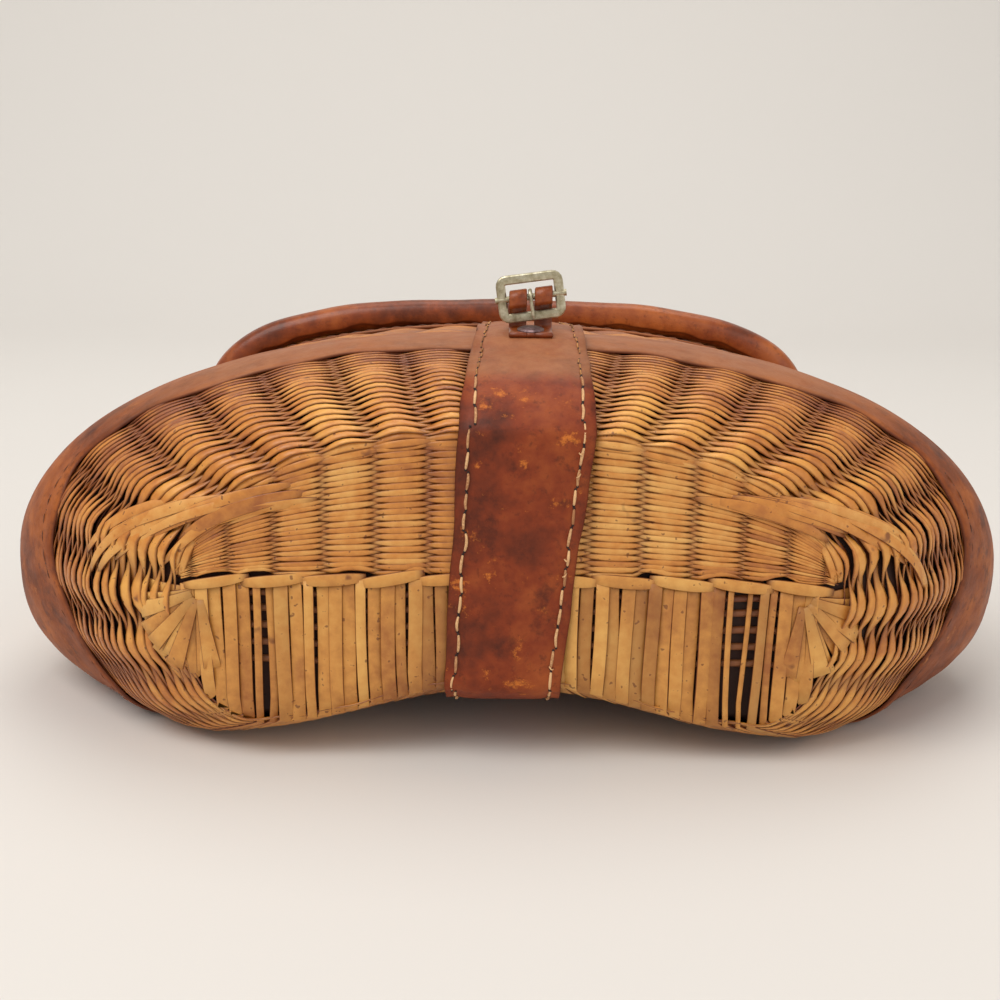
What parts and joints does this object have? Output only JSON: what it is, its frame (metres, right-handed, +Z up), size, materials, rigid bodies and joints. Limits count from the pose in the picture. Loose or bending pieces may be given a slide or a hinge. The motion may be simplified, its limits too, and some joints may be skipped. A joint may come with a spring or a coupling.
{
  "type": "fishing creel bag",
  "caption": "Split-willow fishing creel with leather trim, lying on its back, with a hinged lid and an unfastened buckle on its centre strap.",
  "frame": {"origin": "centre of the bounding box in plan, on the surface that the creel lies on", "axes": "+X along the width, +Z up from the back to the front, +Y from the base to the mouth and lid"},
  "size_m": [0.3754, 0.2184, 0.1635],
  "materials": {
    "willow": "worn varnish",
    "band_leather": "worn satin",
    "strap_leather": "worn satin",
    "lid_leather": "smooth gloss",
    "thread": "waxed",
    "metal": "aged dull"
  },
  "bodies": {
    "basket": {"basket_body": "willow", "belly_band": "band_leather", "centre_strap": "strap_leather", "mouth_binding": "band_leather", "hinge_loop_left": "metal", "hinge_loop_right": "metal", "buckle_chape": "lid_leather", "strap_rivet": "metal"},
    "lid": {"lid_panel": "willow", "lid_binding": "lid_leather"},
    "buckle": {"buckle_frame": "metal"},
    "prong": {"buckle_prong": "metal"}
  },
  "joints": [
    {"name": "lid_hinge", "type": "hinge", "parent": "basket", "child": "lid", "pos_m": [0, 0.0968, 0.006], "axis": [-1, 0, 0], "range_deg": [0, 95]},
    {"name": "buckle_swing", "type": "hinge", "parent": "basket", "child": "buckle", "pos_m": [0.0072, -0.0494, 0.15396], "axis": [-0.9903, 0, -0.1392], "range_deg": [0, 60]},
    {"name": "prong_swing", "type": "hinge", "parent": "buckle", "child": "prong", "pos_m": [0.0072, -0.0494, 0.15396], "axis": [-0.9903, 0, -0.1392], "range_deg": [0, 110]}
  ]
}
